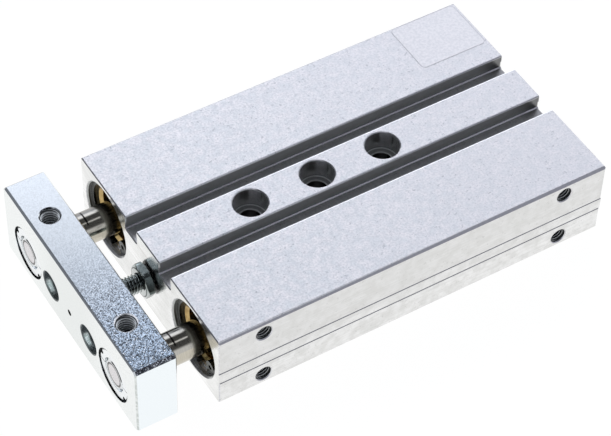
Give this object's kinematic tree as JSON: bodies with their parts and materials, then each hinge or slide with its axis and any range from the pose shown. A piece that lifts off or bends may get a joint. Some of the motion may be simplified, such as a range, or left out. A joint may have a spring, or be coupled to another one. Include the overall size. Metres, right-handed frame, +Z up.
{
  "type": "double piston cylinder",
  "caption": "Flat pneumatic cylinder with two parallel bores in one slotted extrusion, whose piston rods are tied by a yoke plate with a stop screw.",
  "frame": {"origin": "centre of the housing's bottom mounting face", "axes": "+X along the rods, towards the yoke and the way it travels; +Y towards the side with the air ports; +Z up, away from the mounting face"},
  "size_m": [0.1548, 0.08, 0.0287],
  "materials": {
    "anodised_aluminium": "matte clear-anodised extrusion with milled ends",
    "zinc_plated_steel": "bright zinc plating with a fine spangle",
    "zinc_plated_screw": "zinc-plated fastener",
    "turned_brass": "turned and polished",
    "bearing_bronze": "sintered plain bearing",
    "polished_steel": "ground and hard-chromed",
    "turned_steel": "turned",
    "spring_steel": "phosphated spring steel",
    "turned_aluminium": "turned",
    "seal_rubber": "matte",
    "buffer_elastomer": "matte",
    "guide_plastic": "matte",
    "bonded_magnet": "matte"
  },
  "bodies": {
    "housing": {"housing": "anodised_aluminium", "bearing_cap_left": "turned_brass", "rod_bush_left": "bearing_bronze", "rod_wiper_left": "seal_rubber", "rod_seal_left": "seal_rubber", "cap_o_ring_left": "seal_rubber", "front_buffer_left": "buffer_elastomer", "front_retaining_ring_left": "spring_steel", "end_cap_left": "turned_aluminium", "end_cap_o_ring_left": "seal_rubber", "rear_buffer_left": "buffer_elastomer", "rear_retaining_ring_left": "spring_steel", "bearing_cap_right": "turned_brass", "rod_bush_right": "bearing_bronze", "rod_wiper_right": "seal_rubber", "rod_seal_right": "seal_rubber", "cap_o_ring_right": "seal_rubber", "front_buffer_right": "buffer_elastomer", "front_retaining_ring_right": "spring_steel", "end_cap_right": "turned_aluminium", "end_cap_o_ring_right": "seal_rubber", "rear_buffer_right": "buffer_elastomer", "rear_retaining_ring_right": "spring_steel"},
    "slide": {"yoke_plate": "zinc_plated_steel", "piston_rod_left": "polished_steel", "piston_front_left": "turned_aluminium", "piston_rear_left": "turned_aluminium", "piston_magnet_left": "bonded_magnet", "piston_guide_ring_left": "guide_plastic", "piston_seal_front_left": "seal_rubber", "piston_seal_rear_left": "seal_rubber", "piston_nut_left": "zinc_plated_screw", "rod_collar_left": "turned_steel", "yoke_snap_ring_left": "spring_steel", "piston_rod_right": "polished_steel", "piston_front_right": "turned_aluminium", "piston_rear_right": "turned_aluminium", "piston_magnet_right": "bonded_magnet", "piston_guide_ring_right": "guide_plastic", "piston_seal_front_right": "seal_rubber", "piston_seal_rear_right": "seal_rubber", "piston_nut_right": "zinc_plated_screw", "rod_collar_right": "turned_steel", "yoke_snap_ring_right": "spring_steel"},
    "stop_screw": {"stop_screw": "zinc_plated_screw"}
  },
  "joints": [
    {"name": "stroke", "type": "slide", "parent": "housing", "child": "slide", "axis": [1, 0, 0], "range_m": [0, 0.04]},
    {"name": "stop_screw_adjust", "type": "slide", "parent": "slide", "child": "stop_screw", "axis": [1, 0, 0], "range_m": [0, 0.004]}
  ]
}
